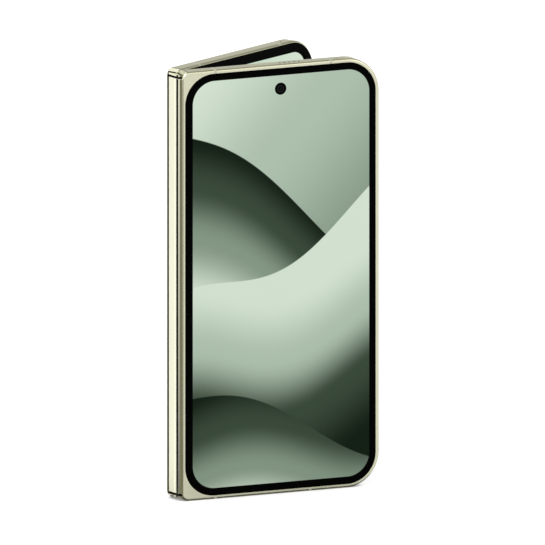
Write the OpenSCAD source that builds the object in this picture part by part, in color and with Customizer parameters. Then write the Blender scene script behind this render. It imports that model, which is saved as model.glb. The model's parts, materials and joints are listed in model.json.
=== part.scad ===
// Book-style folding phone, standing on its lower edges with the two halves part open.
// +Z is up, +X runs from the hinge between the halves to their free edges, and the half with
// the cover screen is on the -Y side. The origin is midway between the two fold axes, at the foot.
// Each half is drawn in its own frame: x from its fold axis to its free edge, y from the
// folding screen outwards, z up.

/* [Body] */
// Width of one half, from the fold line to its free edge
half_w = 75.2; // [70:0.1:82]
// Height of the phone
half_h = 155.2; // [146:0.1:165]
// Thickness of one half
half_t = 5.2; // [5.2:0.1:6.5]
// Gap between the two inner faces when the phone is shut
fold_gap = 0.4; // [0.35:0.05:0.8]
// Angle between the halves at rest
open_angle = 28; // [0:1:150]
// Corner radius at the free edge
free_corner_r = 12.4; // [11.5:0.1:15]
// Corner radius beside the hinge
hinge_corner_r = 2.8; // [1.5:0.1:3]
// Rounding along the frame's edges
edge_r = 0.7; // [0.2:0.05:0.8]
// Wall of the frame along the free edge and the two ends
rail_w = 1.5; // [1.2:0.1:1.8]
// Thickness of the deck across the middle of a half
deck_t = 0.5; // [0.3:0.05:0.6]
// Clearance round parts that are set into a seat
seat_clear = 0.05; // [0.02:0.01:0.1]

/* [Cover screen and rear panel] */
// Metal rim beside the hinge
rim_hinge = 1.15; // [1:0.05:1.6]
// Metal rim along the free edge
rim_free = 1.45; // [1.2:0.05:1.8]
// Metal rim at the top and the foot
rim_end = 1.33; // [1.2:0.05:1.8]
// Thickness of the glass
glass_t = 0.45; // [0.35:0.01:0.5]
// How far the glass stands proud of the frame
glass_proud = 0.15; // [0.05:0.05:0.3]
// Corner radius of the glass
glass_r = 10.9; // [9:0.1:11]
// Black border beside the hinge
border_hinge = 2.8; // [1.5:0.1:4]
// Black border along the free edge
border_free = 2.5; // [1.5:0.1:4]
// Black border at the top
border_top = 2.55; // [1.5:0.05:4]
// Black border at the foot
border_foot = 2.75; // [1.5:0.05:4]
// Corner radius of the lit area
lit_r = 8.35; // [6:0.05:9]
// Thickness of the light-emitting panel
panel_t = 0.7; // [0.4:0.05:0.75]
// Dark edge of that panel outside its lit area
panel_edge = 0.25; // [0.1:0.05:0.3]
// Diameter of the camera opening in the cover screen
punch_d = 4.4; // [3:0.1:5]
// Distance of that opening's centre from the top edge of the glass
punch_drop = 7.4; // [6:0.1:10]

/* [Folding screen] */
// Thickness of the folding screen with its backing
fold_screen_t = 0.7; // [0.5:0.05:0.8]
// Thickness of the flexible strip at the fold
flex_t = 0.4; // [0.3:0.05:0.45]
// How deep the folding screen lies below the frame's inner face
fold_recess = 0.15; // [0.1:0.05:0.2]
// How far the soft bezel stands proud of the frame's inner face
bezel_proud = 0.15; // [0.05:0.01:0.16]
// Metal rim outside the bezel
inner_rim = 0.6; // [0.5:0.05:1]
// Width of the bezel at the top and the foot
bezel_end = 2.5; // [2.3:0.1:3.5]
// Width of the bezel along the free edge
bezel_free = 2.8; // [2.3:0.1:3.5]
// Corner radius inside the bezel
bezel_r = 8.5; // [6:0.1:9]
// Width of frame left beside the folding screen at the top and the foot
screen_edge = 2.2; // [1.9:0.05:2.3]

/* [Hinge] */
// Distance between the two fold axes
axis_gap = 3.7; // [3.6:0.05:4.2]
// Gap between the halves' end faces when the phone lies open
seam_gap = 0.1; // [0.06:0.01:0.2]
// Thickness of the lip that covers the spine when open
lip_t = 0.45; // [0.4:0.05:0.6]
// Running clearance round the spine
spine_clear = 0.1; // [0.08:0.01:0.2]
// Wall of the spine cover
cover_wall = 0.3; // [0.25:0.01:0.35]
// Thickness of the frame's ears over the ends of the spine
ear_t = 1; // [0.7:0.05:1]
// Gap between an ear and the collar under it
ear_gap = 0.25; // [0.2:0.05:0.5]
// Thickness of the collar at each end of the spine
collar_t = 0.5; // [0.4:0.05:0.6]
// Space between the collar and the spine cover, where the gears run
gear_bay = 0.85; // [0.75:0.05:1.1]
// Thickness of the timing gears
gear_t = 0.55; // [0.4:0.05:0.6]
// Number of teeth round a full gear
gear_teeth = 12; // [10:2:16]
// Play between the gear teeth
gear_play = 0.12; // [0.08:0.01:0.2]
// Diameter of the pivot pins
pin_d = 1.0; // [0.8:0.1:1.2]
// Radial running clearance of pins and rails
run_clear = 0.05; // [0.03:0.01:0.08]
// Thickness of the curved hinge rails
arc_t = 0.45; // [0.35:0.05:0.5]
// Width of a curved hinge rail
arc_w = 6; // [4:0.5:9]
// Number of hinge modules along the spine
modules = 3; // [2:1:4]
// Distance from the first hinge module to the foot and from the last to the top
module_inset = 24; // [16:1:30]
// Width of the wing plates that carry the screen beside the fold
wing_w = 4.1; // [3.9:0.1:4.3]
// Thickness of the wing plates
wing_t = 0.3; // [0.2:0.05:0.35]
// Tilt of the wing plates when the phone is shut
wing_tilt = 14; // [10:0.5:15]
// How far the middle of the fold sinks when the phone is shut
fold_drop = 2.75; // [2.4:0.05:2.8]
// Half width of the flat part at the middle of the fold
fold_flat = 0.95; // [0.8:0.05:1]

/* [Rear camera] */
// How far the camera plate stands proud of the rear panel
island_t = 1.6; // [1:0.1:2.5]
// Corner radius of the camera plate
island_r = 6; // [4:0.5:8]
// Distance of the camera plate from the free edge and the top
island_inset = 8; // [6:0.5:12]
// Space between the lens rings, and between them and the plate's edge
lens_gap = 2.4; // [2:0.1:3]
// Outer diameter of a main lens ring
lens_d = 12; // [11:0.5:12.5]
// Outer diameter of the small lens ring
lens_small_d = 7.5; // [6:0.5:8]
// Diameter of the lamp window
lamp_d = 4; // [3:0.5:5]
// Height of the lens rings above the camera plate
lens_rise = 0.8; // [0.4:0.1:1.2]

/* [Keys and openings] */
// Height of the middle of the power key above the foot
power_z = 92; // [80:1:100]
// Length of the power key
power_l = 13; // [10:0.5:16]
// Height of the middle of the volume key above the foot
volume_z = 113; // [110:1:120]
// Length of the volume key
volume_l = 20; // [16:0.5:22]
// Width of the keys across the edge
key_w = 2.2; // [1.8:0.1:2.4]
// How far a key stands proud of the frame
key_proud = 0.35; // [0.3:0.05:0.6]
// Travel of a key
key_travel = 0.25; // [0.15:0.05:0.25]
// Width of a key's flange inside the frame
key_lap = 0.2; // [0.1:0.05:0.2]
// Clearance round a key and the card tray
key_clear = 0.08; // [0.05:0.01:0.12]
// Height of the middle of the card tray above the foot
tray_z = 24; // [22:0.5:60]
// Length of the card tray along the edge
tray_l = 14; // [12:0.5:14.5]
// Depth of the card tray into the body
tray_depth = 17; // [15:0.5:19]
// Distance of the charging port from the hinge axis
port_x = 36; // [34:0.5:40]
// Width of the charging port
port_w = 8.9; // [8.4:0.1:9.2]
// Height of the charging port
port_h = 3.2; // [2.8:0.1:3.3]
// Depth of the charging port
port_depth = 7; // [6:0.5:8]
// Distance between sound holes
sound_pitch = 1.83; // [1.6:0.01:2.2]
// Diameter of a sound hole
sound_d = 0.9; // [0.6:0.1:1.1]
// Number of sound holes in a row
sound_n = 5; // [3:1:6]
// Distance of the earpiece holes' middle from the hinge axis
sound_x = 40; // [38:0.5:42]
// Distance of the loudspeaker holes' middle from the hinge axis
speaker_x = 52; // [51:0.5:53]
// Distance of the microphone hole from the hinge axis
mic_x = 58; // [57.5:0.5:59]
// Distance of the first antenna seam from the hinge axis
seam_near_x = 10.9; // [10:0.1:12]
// Distance of the second antenna seam from the hinge axis
seam_far_x = 47; // [46:0.5:47.5]
// Distance of the antenna seams in the top edge from the hinge axis
seam_top_x = 54.9; // [54:0.1:55.5]
// Width of an antenna seam
seam_w = 0.9; // [0.6:0.1:1.2]

/* [Inside] */
// Width of a battery
cell_w = 42; // [36:0.5:44]
// Height of a battery
cell_h = 74; // [60:0.5:76]
// Thickness of the battery behind the cover screen
front_cell_t = 2.6; // [2:0.05:2.7]
// Thickness of the battery behind the rear panel
rear_cell_t = 3.3; // [2.6:0.05:3.35]
// Thickness of the circuit boards
board_t = 0.6; // [0.4:0.05:0.8]
// Thickness of the shield cans
can_t = 1.4; // [0.8:0.05:1.8]
// Height of the main board
board_h = 44; // [40:0.5:46]
// Diameter of the charging coil
coil_d = 40; // [34:0.5:41]
// Diameter of the vibration motor
motor_d = 8; // [6:0.5:9]
// Diameter of the small screws
screw_d = 1.2; // [1:0.1:1.4]

/* [Hidden] */
$fn = 48;
over = 1;                                      // how far cutters reach past a surface

half_open = open_angle / 2;
axis_in = (axis_gap - fold_gap) / 2;           // depth of a fold axis behind the inner face
y_in = -axis_in;
y_out = half_t - axis_in;
x_end = -(axis_gap - seam_gap) / 2;            // end face beside the hinge
x_free = half_w - axis_gap / 2;
spine_r = y_out - lip_t - spine_clear;         // outer radius of the spine
relief_r = spine_r + spine_clear;
trough_r = spine_r - cover_wall;
arc_out = trough_r - 2 * run_clear;            // curved rails
arc_in = arc_out - arc_t;
ear_r = (axis_gap - seam_gap) / 2;

collar_z = ear_t + ear_gap;                    // levels above the foot, the same at the top
gear_z = collar_z + collar_t;
cover_z = gear_z + gear_bay;

screen_y = y_in + fold_recess;                 // lit face of the folding screen
deck_y = screen_y + fold_screen_t + seat_clear;
bay_y = deck_y + deck_t;                       // floor of the component bay
glass_y = y_out + glass_proud - glass_t;
panel_y = glass_y - panel_t;
bay_x = 4.6;                                   // component bay's wall beside the hinge
bay_inset = 2.9;
bay_r = free_corner_r - rail_w;
bay_hinge_r = glass_r - bay_inset;             // bay's corners beside the hinge, under the glass
bay_h = glass_y - bay_y;
trunnion_d = 0.5;                              // pivots of a wing plate, set in the frame
trunnion_l = 0.8;
wing_x = wing_w - trunnion_d / 2;
wing_y = screen_y + flex_t + trunnion_d / 2;
fold_z = cover_z + run_clear;                  // end of what bends or swings at the fold
wing_rest = wing_tilt * (90 - half_open) / 90;
strip_end = fold_flat - axis_gap / 2;          // wing strip's edge beside the fold line
fold_rest = fold_drop * (90 - half_open) / 90;
fold_x = axis_in - fold_recess - fold_rest;    // lit face at the middle of the fold
fold_floor = axis_in - fold_recess - fold_drop;
screen_x = wing_w + 2 * run_clear;

wall_top = 1.1;                                // spine's side walls end this far behind the axes
pin_depth = 0.3;                               // a pivot pin's seat in the ear
tongue_t = 0.45;                               // collar's tongue on the floor of the spine cover
tongue_w = 2.6;
tongue_l = 5;
rail_y0 = 0.3;                                 // curved rail's straight foot
rail_y1 = wall_top - spine_clear;
foot_x0 = bay_x + 0.4;
foot_l = 3.6;
channel = 1.8;                                 // half width of the channel for the fold
module_pitch = (half_h - 2 * module_inset) / (modules - 1);
rail_gap = 1.5;                                // wall between the two rails of a hinge module
module_l = 2 * arc_w + 3 * rail_gap;
cable_w = 9;                                   // flat cable in the spine
cable_t = 0.12;
cable_gap = 4;
cable_r = trough_r - 2 * run_clear;
cable_z = half_h / 2 + module_l / 2 + cable_gap;

gear_pitch_r = axis_gap / 2;                   // timing gears
gear_module = 2 * gear_pitch_r / gear_teeth;
tooth_out = gear_pitch_r + 0.8 * gear_module;
tooth_in = gear_pitch_r - gear_module;
tooth_w = PI * gear_module / 2 - gear_play;
gear_arm_y0 = -0.35;
gear_arm_y1 = 0.95;
gear_arm_l = 5.4;

screen_side = 1.6;                             // folding screen hidden under its bezel's free side
bezel_lap = 0.45;                              // bezel's reach over the room for the spine
bezel_x = relief_r - bezel_lap;
wing_x0 = 0.2;                                 // wing plate's edge at the fold
small_r = 0.2;                                 // corners at the fold

punch_x = (x_end + rim_hinge + x_free - rim_free) / 2;
punch_z = half_h - rim_end - punch_drop;
punch_gap = 0.3;                               // panel's opening round the camera
punch_box = 6.4;
top_seams = [[seam_near_x, half_h], [seam_top_x, half_h]];
foot_seams = [[seam_near_x, 0], [seam_far_x, 0]];

island_x1 = x_free - island_inset;
island_z1 = half_h - island_inset;
island_z0 = island_z1 - lens_d - 2 * lens_gap;
island_y = y_out + glass_proud;
island_edge = 0.6;                             // rounding of the camera plate's edge
island_top = island_y + island_t + island_edge;
lens_z = (island_z0 + island_z1) / 2;
lens_x1 = island_x1 - lens_gap - lens_d / 2;
lens_x2 = lens_x1 - lens_d - lens_gap;
lens_x3 = lens_x2 - lens_gap - (lens_d + lens_small_d) / 2;
lamp_x = lens_x3 - lens_gap - (lens_small_d + lamp_d) / 2;
lamp_proud = 0.1;
island_x0 = lamp_x - lamp_d / 2 - lens_gap;
lens_spots = [[lens_x1, lens_z, lens_d], [lens_x2, lens_z, lens_d], [lens_x3, lens_z, lens_small_d]];
ring_w = 0.9;
lens_sink = 0.5;                               // seat of a lens ring
lens_drop = 0.2;                               // lens cover below its ring's rim
lens_bore = 0.1;                               // opening under a lens, wider than the cover
module_in = 0.4;                               // camera module inside its ring's outline

edge_y = (y_in + y_out) / 2;                   // middle of the frame's edge
key_y = edge_y + 0.15;
key_root = 0.9;                                // key's flange inside the frame
key_spots = [power_z, volume_z - volume_l / 3, volume_z + volume_l / 3];
switch_t = 0.8;
switch_l = 3;
tray_t = 0.8;
tray_in = tray_l - key_w;
tray_lip = 0.1;                                // tray's root behind its end plate
tray_rim = 1;
reader_wall = 0.5;
reader_gap = 0.3;

part_gap = 2;                                  // room between boards, cells and modules
board_x0 = bay_x + 6;
side_gap = 1.5;
board_x1 = x_free - rail_w - side_gap;
board_gap = 0.5;
board_z = half_h - rail_w - board_gap - board_h;
front_board_side = 8;
front_board_top = 14;
cell_x = foot_x0 + foot_l + part_gap;
cell_z = board_z - part_gap - cell_h;
coil_t = 0.4;
can_x = board_x0 + 6;
can_l = 20;
can_h = 16;
can_pitch = can_l + part_gap;
ear_box_l = 10;                                // earpiece's case
ear_box_h = 3.2;
sub_z0 = rail_w + 0.4;
sub_h = 10;
port_y = bay_y + port_h / 2 + 0.1;
port_sink = 0.3;                               // port's mouth inside the frame
port_wall = 0.3;
port_back = 0.5;
tongue_in = 1.2;                               // contact tongue of the port
contact_w = 6.6;
contact_t = 0.7;
speaker_l = 12.5;
speaker_h = 11.8;
speaker_side = 3;
speaker_foot = 1.2;
speaker_gap = 0.3;
motor_x = 11;
motor_t = 2.4;

// ---------- shared shapes ----------

module front_half() mirror([0, 1, 0]) rear_half() children();

module rear_half() translate([0, axis_gap / 2, 0]) rotate([0, 0, half_open]) children();

module wing_hinge() translate([wing_x, wing_y, 0]) rotate([0, 0, -wing_rest])
    translate([-wing_x, -wing_y, 0]) children();

// the same piece at the foot and, turned over, at the top
module both_ends() {
    children();
    translate([0, 0, half_h]) mirror([0, 0, 1]) children();
}

module block(x0, x1, y0, y1, z0, z1) translate([x0, y0, z0]) cube([x1 - x0, y1 - y0, z1 - z0]);

// outline with corner radius ra at its low x side and rb at its high x side
module outline(x0, x1, z0, z1, ra, rb) {
    translate([x0, z0 + ra]) square([ra, z1 - z0 - 2 * ra]);
    translate([x0 + ra, z0]) square([x1 - x0 - ra - rb, z1 - z0]);
    translate([x1 - rb, z0 + rb]) square([rb, z1 - z0 - 2 * rb]);
    for (z = [z0 + ra, z1 - ra]) translate([x0 + ra, z]) circle(ra);
    for (z = [z0 + rb, z1 - rb]) translate([x1 - rb, z]) circle(rb);
}

module plate(x0, x1, z0, z1, y0, y1, ra, rb) translate([0, y1, 0]) rotate([90, 0, 0])
    linear_extrude(y1 - y0) outline(x0, x1, z0, z1, ra, rb);

// section through a slab's edge: r deep and t thick, its outer corners rounded by e
module rim(r, t, e) {
    square([r - e, t]);
    translate([0, e]) square([r, t - 2 * e]);
    for (y = [e, t - e]) translate([r - e, y]) circle(e);
}

// slab with rounded corners and rounded edges
module slab(x0, x1, z0, z1, y0, y1, ra, rb, e) {
    t = y1 - y0;
    module corner(x, z, r, a) translate([x, y1, z]) rotate([90, 0, 0]) rotate([0, 0, a])
        rotate_extrude(angle = 90) rim(r, t, e);
    module side(x, z, r, a, l) translate([x, y1, z]) rotate([90, 0, 0]) rotate([0, 0, a])
        rotate([90, 0, 0]) linear_extrude(l) rim(r, t, e);
    corner(x1 - rb, z1 - rb, rb, 0);
    corner(x0 + ra, z1 - ra, ra, 90);
    corner(x0 + ra, z0 + ra, ra, 180);
    corner(x1 - rb, z0 + rb, rb, 270);
    side(x1 - rb, z1 - rb, rb, 0, z1 - z0 - 2 * rb);
    side(x0 + ra, z1 - ra, ra, 90, x1 - x0 - ra - rb);
    side(x0 + ra, z0 + ra, ra, 180, z1 - z0 - 2 * ra);
    side(x1 - rb, z0 + rb, rb, 270, x1 - x0 - ra - rb);
    block(x0 + ra, x1 - rb, y0, y1, z0 + min(ra, rb), z1 - min(ra, rb));
}

// round rod or hole along y
module rod_y(x, z, d, y0, y1) translate([x, y1, z]) rotate([90, 0, 0]) cylinder(d = d, h = y1 - y0);

// stadium-shaped bar along x: l long in z, w wide in y
module pill_x(x0, x1, y, z, l, w) translate([x0, y, z]) rotate([0, 90, 0])
    linear_extrude(x1 - x0) {
        square([l - w, w], center = true);
        for (s = [-1, 1]) translate([s * (l - w) / 2, 0]) circle(d = w);
    }

// stadium-shaped bar along z: l long in x, w wide in y
module pill_z(x, y, z0, z1, l, w) translate([x, y, z0]) linear_extrude(z1 - z0) {
    square([l - w, w], center = true);
    for (s = [-1, 1]) translate([s * (l - w) / 2, 0]) circle(d = w);
}

// the spine's section: round about both axes, flat between them, cut off at x = top
module spine_section(r, top) intersection() {
    union() {
        for (s = [-1, 1]) translate([0, s * axis_gap / 2]) circle(r);
        translate([-r, -axis_gap / 2]) square([2 * r, axis_gap]);
    }
    translate([-2 * r, -2 * r - axis_gap]) square([2 * r + top, 4 * r + 2 * axis_gap]);
}

// z of the start of each hinge module
function module_z(i) = module_inset + i * module_pitch - module_l / 2;
// z of the start of the front half's rail (side 0) or the rear half's (side 1)
function rail_z(i, side) = module_z(i) + rail_gap + side * (arc_w + rail_gap);

// ---------- spine ----------

module hinge_cover() color("#dcdcc6") translate([0, 0, cover_z]) linear_extrude(half_h - 2 * cover_z)
    difference() {
        spine_section(spine_r, -wall_top);
        spine_section(trough_r, over);
    }

module hinge_collars() color("#d8d8c2") both_ends() {
    difference() {
        translate([0, 0, collar_z]) linear_extrude(collar_t)
            spine_section(spine_r, axis_in - fold_recess - spine_clear);
        for (s = [-1, 1]) translate([0, s * axis_gap / 2, collar_z - over])
            cylinder(d = pin_d, h = collar_t + 2 * over);
    }
    // tongue that holds the collar to the floor of the spine cover
    block(-trough_r + run_clear, -trough_r + run_clear + tongue_t, -tongue_w / 2, tongue_w / 2,
          collar_z + collar_t, cover_z + tongue_l);
}

module hinge_pins() color("#b9bab2") both_ends()
    for (s = [-1, 1]) translate([0, s * axis_gap / 2, ear_t - pin_depth])
        cylinder(d = pin_d, h = gear_z + gear_bay - 2 * run_clear - ear_t + pin_depth);

module guide_blocks() color("#8d9088") for (i = [0:modules - 1]) difference() {
    translate([0, 0, module_z(i)]) linear_extrude(module_l) difference() {
        spine_section(trough_r - run_clear / 2, -wall_top);
        translate([fold_floor - flex_t - wing_t - run_clear, -channel])
            square([2 * spine_r, 2 * channel]);
    }
    for (side = [0, 1])
        translate([0, (2 * side - 1) * axis_gap / 2, rail_z(i, side) - run_clear])
            difference() {
                cylinder(r = spine_r, h = arc_w + 2 * run_clear);
                translate([0, 0, -over]) cylinder(r = arc_in - run_clear, h = arc_w + 3 * over);
            }
}

// flat cable that crosses from one half to the other along the floor of the spine
module fold_flex_cable() color("#b08433") translate([0, 0, cable_z]) linear_extrude(cable_w) {
    difference() {
        spine_section(cable_r, -wall_top);
        spine_section(cable_r - cable_t, over);
    }
}

// ---------- middle of the fold ----------

module centre_plate() color("#3a3b3c")
    block(fold_x - flex_t - wing_t, fold_x - flex_t, -fold_flat, fold_flat, fold_z, half_h - fold_z);

module inner_display_fold() color("#1d211f")
    block(fold_x - flex_t, fold_x, -fold_flat, fold_flat, fold_z, half_h - fold_z);

// ---------- parts that both halves have ----------

module frame_body() difference() {
    slab(x_end, x_free, 0, half_h, y_in, y_out, hinge_corner_r, free_corner_r, edge_r);
    // component bay and the seat of the glass
    plate(bay_x, x_free - rail_w, rail_w, half_h - rail_w, bay_y, y_out + over, bay_hinge_r, bay_r);
    plate(x_end + rim_hinge - seat_clear, x_free - rim_free + seat_clear, rim_end - seat_clear,
          half_h - rim_end + seat_clear, glass_y, y_out + over, glass_r, glass_r);
    // pocket of the light-emitting panel where it reaches past the component bay
    plate(x_end + rim_hinge + border_hinge - panel_edge - seat_clear, bay_x + bay_r,
          rim_end + border_foot - panel_edge - seat_clear,
          half_h - rim_end - border_top + panel_edge + seat_clear, panel_y - seat_clear, y_out + over,
          lit_r + panel_edge + seat_clear, over);
    // seat of the folding screen and room for the wing plate
    plate(screen_x - over, x_free - inner_rim - screen_side, screen_edge, half_h - screen_edge,
          y_in - over, deck_y, over, bezel_r + screen_side / 2);
    block(-2 * over, screen_x, y_in - over, bay_y, screen_edge, half_h - screen_edge);
    // room for the spine, under the lip and between the ears
    translate([0, 0, ear_t]) cylinder(r = relief_r, h = half_h - 2 * ear_t);
    block(x_end - over, 0, y_in - over, relief_r, ear_t, half_h - ear_t);
    both_ends() {
        // ears: round about the fold axis, bored for the pivot pin
        difference() {
            block(x_end - over, 0, y_in - over, 0, -over, ear_t + over);
            translate([0, 0, -2 * over]) cylinder(r = ear_r, h = ear_t + 4 * over);
        }
        translate([0, 0, ear_t - pin_depth - run_clear])
            cylinder(d = pin_d + 2 * run_clear, h = over);
        // pivot of the wing plate
        translate([wing_x, wing_y, screen_edge - trunnion_l - run_clear])
            cylinder(d = trunnion_d + 2 * run_clear, h = trunnion_l + over);
        // room for the gear's arm
        block(0, gear_arm_l + run_clear, gear_arm_y0 - run_clear, gear_arm_y1 + run_clear, gear_z, cover_z);
    }
}

// slots through the frame for a half's curved rails
module rail_slots(side) for (i = [0:modules - 1])
    block(over, bay_x + over, rail_y0 - run_clear, rail_y1 + run_clear,
          rail_z(i, side) - run_clear, rail_z(i, side) + arc_w + run_clear);

// plugs that fill the antenna seams: cut out of the frame's own outline
module seam_cutters(spots) for (p = spots)
    block(p[0] - seam_w / 2, p[0] + seam_w / 2, y_in - over, y_out + over, p[1] - rail_w, p[1] + rail_w);

module seam_plugs(spots) intersection() {
    frame_body();
    seam_cutters(spots);
}

module glass(y1) plate(x_end + rim_hinge, x_free - rim_free, rim_end, half_h - rim_end,
    glass_y, y1, glass_r, glass_r);

// half of the folding screen that stays flat
module flat_screen() plate(screen_x, x_free - inner_rim - screen_side - seat_clear,
    screen_edge + seat_clear, half_h - screen_edge - seat_clear, screen_y,
    screen_y + fold_screen_t, small_r, bezel_r + screen_side / 2 - seat_clear);

// soft bezel round three sides of the folding screen
module bezel() difference() {
    plate(bezel_x, x_free - inner_rim, inner_rim, half_h - inner_rim, y_in - bezel_proud, screen_y,
          small_r, free_corner_r - inner_rim);
    plate(-bezel_x - bezel_r, x_free - inner_rim - bezel_free, inner_rim + bezel_end,
          half_h - inner_rim - bezel_end, y_in - over, screen_y + over, bezel_r, bezel_r);
    // rests on the frame outside the screen's seat
    difference() {
        block(bezel_x - over, x_free, y_in, screen_y + over, 0, half_h);
        plate(-bezel_x - bezel_r, x_free - inner_rim - screen_side - seat_clear,
              screen_edge + seat_clear, half_h - screen_edge - seat_clear,
              y_in - over, screen_y + 2 * over, small_r, bezel_r + screen_side / 2 - seat_clear);
    }
}

// section of a curved rail, which turns in its guide block about the fold axis, with its foot on the deck
module rail_section() {
    difference() {
        circle(arc_out);
        circle(arc_in);
        translate([-2 * arc_out, -2 * arc_out]) square([2 * arc_out, 2 * arc_out]);
        translate([-over, -2 * arc_out]) square([2 * arc_out, 2 * arc_out + rail_y0]);
    }
    translate([arc_in, rail_y0]) square([foot_x0 + foot_l - arc_in, rail_y1 - rail_y0]);
    translate([foot_x0, bay_y]) square([foot_l, rail_y1 - bay_y]);
}

module hinge_rails(side) for (i = [0:modules - 1]) translate([0, 0, rail_z(i, side)]) difference() {
    linear_extrude(arc_w) rail_section();
    for (z = [arc_w / 4, arc_w * 3 / 4])
        rod_y(foot_x0 + foot_l / 2, z, screw_d + 2 * run_clear, bay_y - over, rail_y1 + over);
}

module rail_screws(side) for (i = [0:modules - 1], z = [arc_w / 4, arc_w * 3 / 4]) {
    rod_y(foot_x0 + foot_l / 2, rail_z(i, side) + z, screw_d, bay_y, rail_y1);
    rod_y(foot_x0 + foot_l / 2, rail_z(i, side) + z, 1.7 * screw_d, rail_y1, rail_y1 + 0.35);
}

// timing gear with its arm; turned by half a tooth on one half so that the teeth mesh
module sync_gears(phase) both_ends() translate([0, 0, gear_z + (gear_bay - gear_t) / 2])
    difference() {
        union() {
            linear_extrude(gear_t) gear_outline(phase);
            block(0, gear_arm_l, gear_arm_y0, gear_arm_y1, 0, gear_t);
        }
        translate([0, 0, -over]) cylinder(d = pin_d + 2 * run_clear, h = gear_t + 2 * over);
    }

module gear_outline(phase) {
    circle(tooth_in);
    for (i = [0:gear_teeth - 1]) rotate([0, 0, (i + phase) * 360 / gear_teeth])
        polygon([
            [tooth_in * 0.8, -tooth_w * 0.75], [tooth_in * 0.8, tooth_w * 0.75],
            [tooth_in, tooth_w * 0.75], [tooth_out, tooth_w * 0.33],
            [tooth_out, -tooth_w * 0.33], [tooth_in, -tooth_w * 0.75],
        ]);
}

module wing_plate() wing_hinge() {
    block(wing_x0, wing_w, screen_y + flex_t, screen_y + flex_t + wing_t, fold_z, half_h - fold_z);
    both_ends() translate([wing_x, wing_y, screen_edge - trunnion_l])
        cylinder(d = trunnion_d, h = trunnion_l + 2 * over);
}

module wing_screen() wing_hinge()
    block(strip_end + run_clear, wing_w, screen_y, screen_y + flex_t, fold_z, half_h - fold_z);

// ---------- front half ----------

module front_frame() color("#d9dac4") front_half() difference() {
    frame_body();
    rail_slots(0);
    seam_cutters(concat(top_seams, foot_seams));
    for (i = [0:sound_n - 1])
        translate([sound_x + (i - (sound_n - 1) / 2) * sound_pitch, edge_y, half_h - rail_w - over])
            cylinder(d = sound_d, h = rail_w + 2 * over);
    translate([mic_x, edge_y, half_h - rail_w - over]) cylinder(d = sound_d * 0.8, h = rail_w + 2 * over);
}

module front_antenna_seams() color("#b7b9a6") front_half() seam_plugs(concat(top_seams, foot_seams));

module cover_glass() color("#20302a") front_half() glass(y_out + glass_proud);

module cover_panel() color("#7fa08b") front_half() difference() {
    plate(x_end + rim_hinge + border_hinge - panel_edge, x_free - rim_free - border_free + panel_edge,
          rim_end + border_foot - panel_edge, half_h - rim_end - border_top + panel_edge,
          panel_y, glass_y, lit_r + panel_edge, lit_r + panel_edge);
    rod_y(punch_x, punch_z, punch_d + 2 * punch_gap, panel_y - over, glass_y + over);
}

module cover_camera() color("#111315") front_half() {
    rod_y(punch_x, punch_z, punch_d, bay_y, glass_y);
    block(punch_x - punch_box / 2, punch_x + punch_box / 2, bay_y, panel_y - seat_clear,
          punch_z - punch_box / 2, punch_z + punch_box / 2);
}

module earpiece() color("#2a2c2e") front_half()
    block(sound_x - ear_box_l / 2, sound_x + ear_box_l / 2, bay_y, panel_y - seat_clear,
          half_h - rail_w - ear_box_h, half_h - rail_w);

module front_battery() color("#2f3336") front_half()
    block(cell_x, cell_x + cell_w, bay_y, bay_y + front_cell_t, cell_z, cell_z + cell_h);

module board_hole() rod_y(board_x0 + part_gap, board_z + part_gap, screw_d, bay_y - over,
    bay_y + board_t + over);

module front_board() color("#1f5a3c") front_half() difference() {
    block(board_x0, board_x1 - front_board_side, bay_y, bay_y + board_t, board_z,
          board_z + board_h - front_board_top);
    board_hole();
}

module front_board_cans() color("#a9aba6") front_half() for (i = [0:1])
    block(can_x + i * can_pitch, can_x + i * can_pitch + can_l, bay_y + board_t,
          bay_y + board_t + can_t, board_z + 2 * part_gap, board_z + 2 * part_gap + can_h);

module front_sync_gears() color("#9a9b93") front_half() sync_gears(0);

module front_hinge_rails() color("#a6a79f") front_half() hinge_rails(0);

module front_rail_screws() color("#77797a") front_half() rail_screws(0);

module inner_display_front() color("#6f8f7d") front_half() flat_screen();

module front_bezel() color("#17191a") front_half() bezel();

module front_wing_plate() color("#3a3b3c") front_half() wing_plate();

module inner_display_wing_front() color("#1d211f") front_half() wing_screen();

// ---------- rear half ----------

module rear_frame() color("#d9dac4") rear_half() difference() {
    frame_body();
    rail_slots(1);
    seam_cutters(concat(top_seams, foot_seams));
    translate([mic_x, edge_y, half_h - rail_w - over]) cylinder(d = sound_d * 0.8, h = rail_w + 2 * over);
    // openings in the foot: charging port, sound holes, microphone
    pill_z(port_x, port_y, -over, rail_w + over, port_w + 2 * seat_clear, port_h + 2 * seat_clear);
    for (i = [0:sound_n - 1])
        translate([speaker_x + i * sound_pitch, edge_y, -over])
            cylinder(d = sound_d, h = rail_w + 2 * over);
    translate([port_x - 9, edge_y, -over]) cylinder(d = sound_d * 0.8, h = rail_w + 2 * over);
    // openings in the free edge: keys and card tray
    pill_x(x_free - rail_w - over, x_free + over, key_y, power_z,
           power_l + 2 * key_clear, key_w + 2 * key_clear);
    pill_x(x_free - rail_w - over, x_free + over, key_y, volume_z,
           volume_l + 2 * key_clear, key_w + 2 * key_clear);
    pill_x(x_free - rail_w - over, x_free + over, key_y, tray_z,
           tray_l + 2 * key_clear, key_w + 2 * key_clear);
}

module rear_antenna_seams() color("#b7b9a6") rear_half() seam_plugs(concat(top_seams, foot_seams));

module rear_glass() color("#dfe3d3") rear_half() difference() {
    glass(y_out + glass_proud);
    for (p = lens_spots)
        rod_y(p[0], p[1], p[2] - 2 * ring_w + 2 * lens_bore, glass_y - over, y_out + 2 * over);
    rod_y(lamp_x, lens_z, lamp_d, glass_y - over, y_out + 2 * over);
}

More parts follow.
